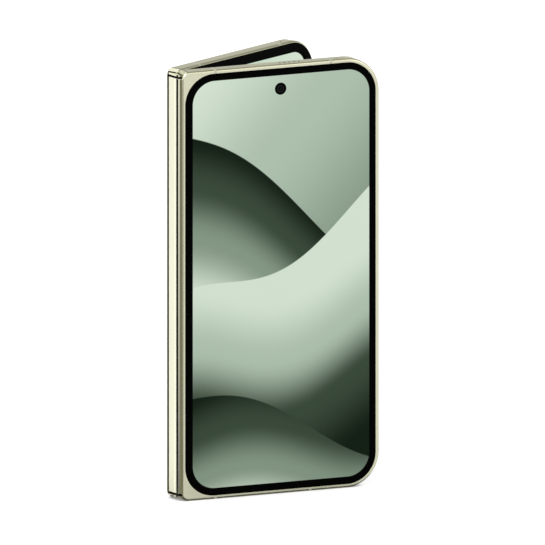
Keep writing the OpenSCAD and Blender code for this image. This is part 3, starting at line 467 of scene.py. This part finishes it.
def new_object(name, verts, faces, material, sharp_past=40):
    """A mesh object shaded smooth, but for edges of more than sharp_past degrees."""
    mesh = bpy.data.meshes.new(name)
    mesh.from_pydata([tuple(v) for v in verts], [], faces)
    bm = bmesh.new()
    bm.from_mesh(mesh)
    bmesh.ops.recalc_face_normals(bm, faces=bm.faces)
    bm.to_mesh(mesh)
    bm.free()
    mesh.materials.append(material)
    ob = bpy.data.objects.new(name, mesh)
    bpy.context.scene.collection.objects.link(ob)
    mesh.shade_smooth()
    mesh.set_sharp_from_angle(angle=math.radians(sharp_past))
    return ob


def band(start, n):
    """Faces between two closed rings of n points each, the first ring's from index start."""
    return [(start + i, start + (i + 1) % n, start + n + (i + 1) % n, start + n + i) for i in range(n)]


def pillow(name, side, box, r, layers, material):
    """A rounded-rectangle slab built from layers of (inset, y), closed at both ends."""
    x0, x1, z0, z1 = box
    verts = []
    for inset, y in layers:
        ring = outline(x0 + inset, x1 - inset, z0 + inset, z1 - inset, r - inset)
        verts += [to_frame(x, y, z, side) for x, z in ring]
    n, last = len(ring), len(verts) - len(ring)
    faces = [face for start in range(0, last, n) for face in band(start, n)]
    faces += [tuple(range(n)), tuple(range(last, last + n))]
    return new_object(name, verts, faces, material)


# ---------- cover screen ----------
glass_layers = [(0.0, GLASS_TOP - GLASS_T), (0.0, GLASS_TOP - GLASS_EDGE)]
for angle in (15, 30, 45, 60, 75, 90):
    a = math.radians(angle)
    glass_layers.append((GLASS_EDGE * (1 - math.cos(a)), GLASS_TOP - GLASS_EDGE + GLASS_EDGE * math.sin(a)))
cover_lit = lit_glass("cover_glass_lit", -1, COVER_LIT, LIT_R, COVER_LIT[0], COVER_LIT[1], COVER_GLOW, False)
cover = pillow("cover_screen_glass", -1, (GLASS_X0, GLASS_X1, GLASS_Z0, GLASS_Z1), GLASS_R,
               glass_layers, cover_lit)
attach(cover, "front_half")
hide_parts("cover_glass")

# ---------- folding screen: one strip of thin laminate per half, bending at the wing plate ----------
inner_lit = {
    -1: lit_glass("inner_lit_front", -1, INNER_LIT, INNER_LIT_R, PICTURE_X0, PICTURE_X1, INNER_GLOW, True),
    1: lit_glass("inner_lit_rear", 1, INNER_LIT, INNER_LIT_R, PICTURE_X1, PICTURE_X0, INNER_GLOW, True),
}


def tilt(x, y):
    """A point of the wing strip, drawn flat, at its rest tilt."""
    dx, dy = x - WING_X, y - WING_Y
    c, sn = math.cos(-WING_REST), math.sin(-WING_REST)
    return WING_X + c * dx - sn * dy, WING_Y + sn * dx + c * dy


def film_faces(x):
    """The lit face and the back of the film at x, as points of the half's own x and y."""
    if x < WING_X:
        return tilt(x, SCREEN_Y), tilt(x, SCREEN_Y + FLEX_T)
    thick = min(FLAT_T, FLEX_T + max(0.0, x - THICKEN_X) * THICKEN)
    return (x, SCREEN_Y), (x, SCREEN_Y + thick)


def film_inset(x):
    """How far the rounded free corners draw the film's ends in at x."""
    d = x - (FILM_X1 - FILM_R)
    return FILM_R - math.sqrt(max(0.0, FILM_R ** 2 - d * d)) if d > 0 else 0.0


# close together over the wing plate and its bend, then wide apart, and close again round the free corners
xs = [FILM_X0 + i * (WING_X - FILM_X0) / 12 for i in range(12)]
xs += [(3.9 + 0.1 * i) * MM for i in range(12)]
xs += [6 * MM, 20 * MM, 45 * MM]
xs += [FILM_X1 - FILM_R + FILM_R * math.sin(math.radians(a)) for a in range(0, 91, 5)]
for side, tag in ((-1, "front"), (1, "rear")):
    verts, places = [], []
    for x in xs:
        face, rear = film_faces(x)
        for z in (FILM_Z0 + film_inset(x), FILM_Z1 - film_inset(x)):
            verts += [to_frame(*face, z, side), to_frame(*rear, z, side)]
            places += [*to_frame(x, SCREEN_Y, z, side)] * 2
    faces = [(0, 1, 3, 2), tuple(len(verts) - 4 + k for k in (0, 1, 3, 2))]
    for i in range(len(xs) - 1):
        a, b = 4 * i, 4 * i + 4
        faces += [(a, b, b + 2, a + 2), (a + 1, a + 3, b + 3, b + 1), (a, a + 1, b + 1, b),
                  (a + 2, b + 2, b + 3, a + 3)]
    film = new_object("inner_screen_" + tag, verts, faces, inner_lit[side], 30)
    film.data.attributes.new("flat_place", "FLOAT_VECTOR", "POINT").data.foreach_set("vector", places)
    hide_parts("inner_display_" + tag, "inner_display_wing_" + tag)
    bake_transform(film)
nodes["inner_display_fold"].data.materials[0] = middle_glass()


# ---------- spine: a crowned strip with rounded flanks, and black pieces in the grooves at its ends as painted shade ---
def spine_arc(r, crown, reach, count):
    """Points across the spine: a flank about each fold axis, from reach to crown degrees, and between
    them a flatter arc that meets both."""
    pts = []
    for i in range(count + 1):
        t = math.radians(reach + (crown - reach) * i / count)
        pts.append((-r * math.cos(t), -AXIS - r * math.sin(t)))
    flank = pts[:]
    crown = math.radians(crown)
    big = (AXIS + r * math.sin(crown)) / math.sin(crown)
    cx = -r * math.cos(crown) + big * math.cos(crown)
    for i in range(1, 12):
        t = crown - 2 * crown * i / 12
        pts.append((cx - big * math.cos(t), -big * math.sin(t)))
    return pts + [(x, -y) for x, y in reversed(flank)]


def channel(name, outer, inner, layers, material):
    """A C-shaped length along z; layers give (inset of the outer face, z)."""
    n = len(outer)
    verts, faces = [], []
    for inset, z in layers:
        for (x, y), (u, v) in zip(outer, inner):
            k = inset / math.hypot(x - u, y - v)
            verts.append((x + (u - x) * k, y + (v - y) * k, z))
        verts += [(u, v, z) for u, v in reversed(inner)]
    m = 2 * n
    for k in range(len(layers) - 1):
        faces += band(k * m, m)
    for base in (0, (len(layers) - 1) * m):
        faces += [(base + i, base + i + 1, base + m - 2 - i, base + m - 1 - i) for i in range(n - 1)]
    return new_object(name, verts, faces, material, 35)


strip_outer = spine_arc(SPINE_R - SET_IN, CROWN, STRIP_REACH, 26)
strip_inner = spine_arc(SPINE_R - SPINE_WALL, FLAT_CROWN, WALL_REACH, 26)
strip_layers = [(CHAMFER, COVER_END), (0.0, COVER_END + CHAMFER),
                (0.0, HEIGHT - COVER_END - CHAMFER), (CHAMFER, HEIGHT - COVER_END)]
strip = channel("spine_strip", strip_outer, strip_inner, strip_layers, spine_metal)
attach(strip, "hinge_spine")
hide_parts("hinge_cover")
# black pieces deep in the grooves at the strip's ends: painted shade of the grooves
shade_piece_outer = spine_arc(SHADE_PIECE_R, FLAT_CROWN, SHADE_PIECE_REACH, 16)
shade_piece_inner = spine_arc(SHADE_PIECE_INNER_R, FLAT_CROWN, SHADE_PIECE_REACH, 16)
for tag, z0, z1 in (("foot", COLLAR_END, COVER_END), ("top", HEIGHT - COVER_END, HEIGHT - COLLAR_END)):
    shade_piece_layers = [(0.0, z0 + SHADE_PIECE_PLAY), (0.0, z1 - SHADE_PIECE_PLAY)]
    shade_piece = channel("groove_shade_piece_" + tag, shade_piece_outer, shade_piece_inner, shade_piece_layers, painted_groove_shade)
    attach(shade_piece, "hinge_spine")


# ---------- lenses, and the mesh in the sound holes ----------
def turned(name, spot, profile, material):
    """A piece of the rear half turned about its y axis at spot (x, z, radius)."""
    cx, cz, radius = spot
    n, m = 48, len(profile)
    verts, faces = [], []
    for i in range(n):
        c, sn = math.cos(2 * math.pi * i / n), math.sin(2 * math.pi * i / n)
        verts += [to_frame(cx + r * radius * c, y * MM, cz + r * radius * sn, 1) for r, y in profile]
    for i in range(n):
        a, b = i * m, (i + 1) % n * m
        faces += [(a + j, a + j + 1, b + j + 1, b + j) for j in range(m - 1)]
    faces.append(tuple(i * m for i in range(n)))
    faces.append(tuple(i * m + m - 1 for i in range(n)))
    ob = new_object(name, verts, faces, material, 30)
    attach(ob, "rear_half")
    return ob


for label, spot in LENSES.items():
    barrel = turned("lens_barrel_" + label, spot, BARREL, lens_barrel)
    element = turned("lens_element_" + label, spot, ELEMENT, element_glass(*spot))
    if label == "wide":
        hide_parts("lens_covers")


def plugs(name, side, spots, body):
    """Dark mesh discs a little way inside round holes in the rails; spots are (x, z, radius)."""
    verts, faces = [], []
    n = 20
    for cx, cz, r in spots:
        base = len(verts)
        for dz in (-MESH_HALF_T, MESH_HALF_T):
            for i in range(n):
                a = 2 * math.pi * i / n
                verts.append(to_frame(cx + r * math.cos(a), HOLE_Y + r * math.sin(a), cz + dz, side))
        faces += band(base, n)
        faces += [tuple(range(base, base + n)), tuple(range(base + n, base + 2 * n))]
    ob = new_object(name, verts, faces, mesh_cloth, 30)
    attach(ob, body)


foot_z, top_z = MESH_DEPTH, HEIGHT - MESH_DEPTH
earpiece = [(EARPIECE_X + HOLE_PITCH * k, top_z, MESH_R) for k in range(-2, 3)]
speaker = [(SPEAKER_X + HOLE_PITCH * k, foot_z, MESH_R) for k in range(5)]
plugs("earpiece_mesh", -1, earpiece + [(MIC_X, top_z, SMALL_MESH_R)], "front_half")
plugs("speaker_mesh", 1, speaker + [(PORT_MIC_X, foot_z, SMALL_MESH_R), (MIC_X, top_z, SMALL_MESH_R)],
      "rear_half")

# ---------- camera, as fitted to the photo ----------
TARGET = Vector((26.40, -19.19, 81.80)) * MM
AZIMUTH, ELEVATION = math.radians(-36.0), math.radians(12.3)
VIEW_WIDTH, DISTANCE = 0.19265, 0.8

scene = bpy.context.scene
back = Vector((math.sin(AZIMUTH) * math.cos(ELEVATION), -math.cos(AZIMUTH) * math.cos(ELEVATION),
               math.sin(ELEVATION)))
lens = bpy.data.cameras.new("camera")
lens.type = "ORTHO"
lens.ortho_scale = VIEW_WIDTH
lens.clip_start, lens.clip_end = 0.01, 20.0
camera = bpy.data.objects.new("camera", lens)
scene.collection.objects.link(camera)
camera.location = TARGET + back * DISTANCE
camera.rotation_mode = "QUATERNION"
camera.rotation_quaternion = (-back).to_track_quat("-Z", "Y")
scene.camera = camera

# ---------- light, floor and background ----------
WORLD_LIGHT = 0.62               # strength of the white world on what it lights
SHADE_REACH = 1.7 * MM           # how far from the foot the floor darkens
SHADE_POWER = 0.7
FLOOR_GLOW = 0.53                # what the lit floor lacks to be white to the camera
FLOOR_SHEEN = 0.28               # its glow behind the phone, as the metal mirrors it


def studio_world():
    """White to camera, glossy and transmission rays, and a little weaker where it lights."""
    world = bpy.data.worlds.new("studio")
    world.use_nodes = True
    nt = world.node_tree
    rays = nt.nodes.new("ShaderNodeLightPath")
    seen = rays.outputs["Is Camera Ray"]
    for kind in ("Is Glossy Ray", "Is Transmission Ray"):
        larger = nt.nodes.new("ShaderNodeMath")
        larger.operation = "MAXIMUM"
        nt.links.new(seen, larger.inputs[0])
        nt.links.new(rays.outputs[kind], larger.inputs[1])
        seen = larger.outputs[0]
    strength = nt.nodes.new("ShaderNodeMapRange")
    nt.links.new(seen, strength.inputs[0])
    strength.inputs[3].default_value, strength.inputs[4].default_value = WORLD_LIGHT, 1.0
    background = nt.nodes["Background"]
    background.inputs[0].default_value = (1, 1, 1, 1)
    nt.links.new(strength.outputs[0], background.inputs[1])
    return world


def floor_material():
    """White to the camera, with the object's shadow, and darker where the metal mirrors it."""
    t = Tree("floor")
    rays = t.node("ShaderNodeLightPath")
    diffuse = t.node("ShaderNodeBsdfDiffuse")
    grey = t.mix(t.span(t.noise(8.0), 0.3, 0.7), (0.80, 0.80, 0.80, 1), (0.82, 0.82, 0.82, 1))
    t.put(diffuse.inputs[0], grey)
    contact = t.node("ShaderNodeAmbientOcclusion", samples=8)
    contact.inputs["Distance"].default_value = SHADE_REACH
    near_foot = t.math("POWER", contact.outputs["AO"], SHADE_POWER)
    seen = t.math("MULTIPLY", t.math("MULTIPLY", rays.outputs["Is Camera Ray"], FLOOR_GLOW), near_foot)
    behind = t.span(t.dot(t.place(), (0, 1, 0)), -0.02, 0.05, 0.0, FLOOR_SHEEN)
    mirrored = t.math("MULTIPLY", rays.outputs["Is Glossy Ray"], behind)
    glow = t.node("ShaderNodeEmission")
    glow.inputs[0].default_value = (1, 1, 1, 1)
    t.put(glow.inputs[1], t.math("ADD", seen, mirrored))
    both = t.node("ShaderNodeAddShader")
    t.put(both.inputs[0], diffuse.outputs[0])
    t.put(both.inputs[1], glow.outputs[0])
    t.put(t.out.inputs[0], both.outputs[0])
    return t.mat


scene.world = studio_world()
bpy.ops.mesh.primitive_plane_add(size=8.0, location=(0, 0, 0))
floor = bpy.context.object
floor.name = "floor"
floor.data.materials.append(floor_material())


def card(name, verts, faces, level, strength=None):
    """A studio card that only mirrors in the metal and glass; strength grades it over its place."""
    t = Tree(name)
    e = t.node("ShaderNodeEmission")
    e.inputs[0].default_value = level + (1,) if isinstance(level, tuple) else (level, level, level, 1)
    t.put(e.inputs[1], strength(t) if strength else 1.0)
    t.nt.links.new(e.outputs[0], t.out.inputs[0])
    ob = new_object(name, verts, faces, t.mat)
    ob.visible_camera = ob.visible_diffuse = ob.visible_shadow = ob.visible_transmission = False


# the photo looks along AHEAD, and ACROSS runs to its right
AHEAD, ACROSS = Vector((0.59, 0.81, 0)), Vector((0.81, -0.59, 0))
RING_SIDES, RING_R, RING_Z0, RING_Z1 = 48, 1.6, 0.14, 1.19
RING_BEFORE, RING_LOW, RING_HIGH, RING_HINGE = 0.88, 0.60, 0.31, 0.70
OVERHEAD_Z = 2.0
WEDGE_LENGTH, WEDGE_Z = 1.5, 0.2 * MM
PAST_HINGE = 2 * MM


def ring_strength(t):
    """The ring is bright on the cover screen's side. Behind the phone it darkens towards its top, but
    for the part that the hinge ends mirror."""
    behind = t.span(t.dot(t.place(), AHEAD), -1.1, -0.5)
    before = t.math("MULTIPLY", t.math("SUBTRACT", 1.0, behind), RING_BEFORE)
    level = t.span(t.dot(t.place(), (0, 0, 1)), 0.42, 0.70, RING_LOW, RING_HIGH)
    level = t.math("MAXIMUM", level, t.span(t.dot(t.place(), ACROSS), -0.40, -0.12, RING_HINGE, 0.0))
    return t.math("ADD", t.math("MULTIPLY", behind, level), before)


# band round the horizon
turns = [2 * math.pi * i / RING_SIDES for i in range(RING_SIDES)]
ring = [Vector((RING_R * math.cos(a), RING_R * math.sin(a), z)) for z in (RING_Z0, RING_Z1) for a in turns]
card("horizon_card", ring, band(0, RING_SIDES), (1.0, 1.0, 0.92), ring_strength)

# a darker card overhead, from behind the phone to a little before it, clear of what the hinge ends mirror
overhead = [AHEAD * u + ACROSS * v + Vector((0, 0, OVERHEAD_Z))
            for u, v in ((-1.06, -0.35), (-1.06, 3), (2.84, 3), (2.84, -0.35))]
card("overhead_card", overhead, [(0, 1, 2, 3)], (0.31, 0.31, 0.27))

# wedges on the floor that the hinge side mirrors: bright beside the spine's crown, dark past it, a graded one
# that darkens towards the foot as painted shade, and olive; each from its apex in mm between two azimuths
for label, apex, a0, a1, grey, far in (
        ("crown", (-3.0, -0.4), 127.4, 130.9, 1.12, None),
        ("dark", (-2.95, -2.0), 131.1, 160.0, 0.008, None),
        ("graded", (-2.6, -3.2), 160.2, 183.8, 1.0, lambda t: t.math("POWER", t.length(), 0.5)),
        ("olive", (-2.3, -3.6), 184.0, 236.0, (0.20, 0.19, 0.13), None)):
    wedge = [Vector((apex[0] * MM, apex[1] * MM, WEDGE_Z))]
    for azimuth in (a0, (a0 + a1) / 2, a1):
        a = math.radians(azimuth)
        wedge.append(wedge[0] + Vector((WEDGE_LENGTH * math.cos(a), WEDGE_LENGTH * math.sin(a), 0)))
    card("floor_flag_" + label, wedge, [(0, 1, 2), (0, 2, 3)], grey, far)

# close to the foot the floor mirrors dark: these dark cards are painted shade, as of the gap under the
# rounded edge; each card with its reach past the frame and its height, in mm
for side, tag in ((-1, "front"), (1, "rear")):
    for reach, rise, grey in ((1.0, 0.24, 0.07), (2.6, 0.144, 0.30)):
        x0, x1, y1 = X_END - PAST_HINGE - reach * MM, X_FREE + reach * MM, Y_OUT + reach * MM
        corners = [to_frame(x, y, rise * MM, side) for x, y in ((x0, Y_IN), (x1, Y_IN), (x1, y1), (x0, y1))]
        card("foot_%s_%d" % (tag, round(10 * reach)), corners, [(0, 1, 2, 3)], grey)


def lamp(name, location, target, size, power):
    """A square area lamp of the given size and watts, turned to the target."""
    data = bpy.data.lights.new(name, "AREA")
    data.shape, data.size, data.energy = "SQUARE", size, power
    ob = bpy.data.objects.new(name, data)
    scene.collection.objects.link(ob)
    ob.location = location
    ob.rotation_mode = "QUATERNION"
    ob.rotation_quaternion = (Vector(target) - Vector(location)).to_track_quat("-Z", "Y")
    return ob


MIDDLE = (0.03, 0.0, 0.08)
lamp("key", (-0.9, -0.7, 1.1), MIDDLE, 0.9, 6.0)
lamp("fill", (0.8, -1.1, 0.7), MIDDLE, 1.0, 3.0)
lamp("back", (0.3, 1.2, 0.9), MIDDLE, 1.0, 4.0).visible_glossy = False

scene.view_settings.view_transform = "Standard"
